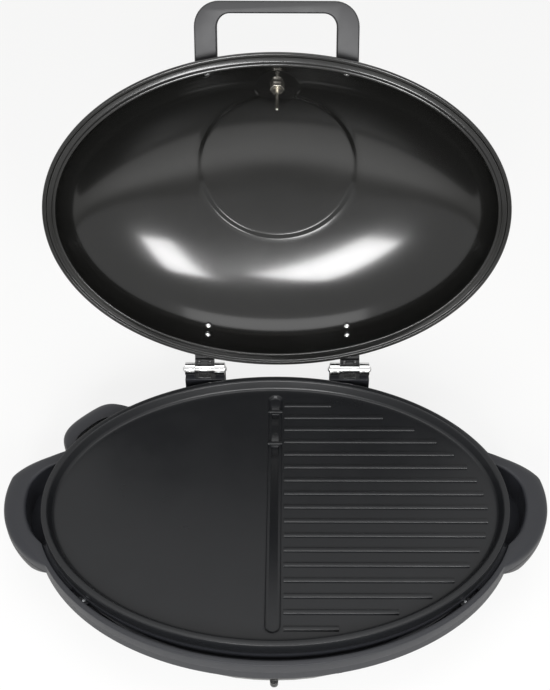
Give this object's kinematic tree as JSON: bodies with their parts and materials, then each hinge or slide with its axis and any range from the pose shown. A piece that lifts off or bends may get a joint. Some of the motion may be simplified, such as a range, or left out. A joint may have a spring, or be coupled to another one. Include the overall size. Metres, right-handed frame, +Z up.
{
  "type": "electric indoor grill with lid",
  "caption": "Oval electric indoor grill with a half smooth, half ribbed hotplate, side handles, a slide-out drip tray and a hinged dome lid with a handle and thermometer.",
  "frame": {"origin": "on the table under the middle of the grill with its lid open", "axes": "+Z up, +X to the right, -Y towards the cook"},
  "size_m": [0.5464, 0.511, 0.4493],
  "materials": {
    "housing": "fine matte moulding",
    "handle_plastic": "fine matte moulding",
    "nonstick": "non-stick coating over cast aluminium",
    "lid_enamel": "glossy dark enamel on pressed steel",
    "tray_enamel": "satin enamel",
    "black_bracket": "satin black",
    "chrome": "polished",
    "nickel": "satin nickel",
    "zinc_steel": "zinc plated",
    "element_steel": "heat-tinted sheath",
    "tinplate": "rolled sheet",
    "rubber": "matte",
    "ceramic": "steatite ceramic",
    "dial_white": "printed card",
    "pointer_red": "satin",
    "glass": "clear"
  },
  "bodies": {
    "base": {"upper_housing": "housing", "lower_housing": "housing", "left_handle_cover": "handle_plastic", "right_handle_cover": "handle_plastic", "housing_screws": "zinc_steel", "handle_cover_screws": "zinc_steel", "rubber_feet": "rubber", "hotplate": "nonstick", "heating_element": "element_steel", "terminal_block": "ceramic", "inlet_pins": "nickel", "sensor_sleeve": "nickel", "reflector_pan": "tinplate", "left_hinge_block": "housing", "right_hinge_block": "housing", "left_base_leaf": "chrome", "right_base_leaf": "chrome", "base_leaf_screws": "chrome", "left_hinge_pin": "chrome", "right_hinge_pin": "chrome"},
    "lid": {"left_lid_leaf": "chrome", "right_lid_leaf": "chrome", "left_lid_bracket": "black_bracket", "right_lid_bracket": "black_bracket", "lid_leaf_rivets": "chrome", "lid_bracket_bolts": "chrome", "lid_bracket_nuts": "zinc_steel", "lid_shell": "lid_enamel", "lid_handle": "handle_plastic", "lid_handle_screws": "chrome", "thermometer_gasket": "rubber", "thermometer_case": "tinplate", "thermometer_bezel": "chrome", "thermometer_dial": "dial_white", "thermometer_lens": "glass", "thermometer_stem": "nickel", "thermometer_nut": "nickel"},
    "drip_tray": {"drip_tray": "tray_enamel"},
    "pointer": {"thermometer_pointer": "pointer_red"}
  },
  "joints": [
    {"name": "lid_hinge", "type": "hinge", "parent": "base", "child": "lid", "pos_m": [0, 0.098, 0.087], "axis": [1, 0, 0], "range_deg": [0, 106.9]},
    {"name": "drip_tray_slide", "type": "slide", "parent": "base", "child": "drip_tray", "axis": [0, -1, 0], "range_m": [0, 0.22]},
    {"name": "thermometer_pointer", "type": "hinge", "parent": "lid", "child": "pointer", "pos_m": [0, 0.24257, 0.35997], "axis": [0, -0.9639, -0.2664], "range_deg": [0, 270]}
  ]
}
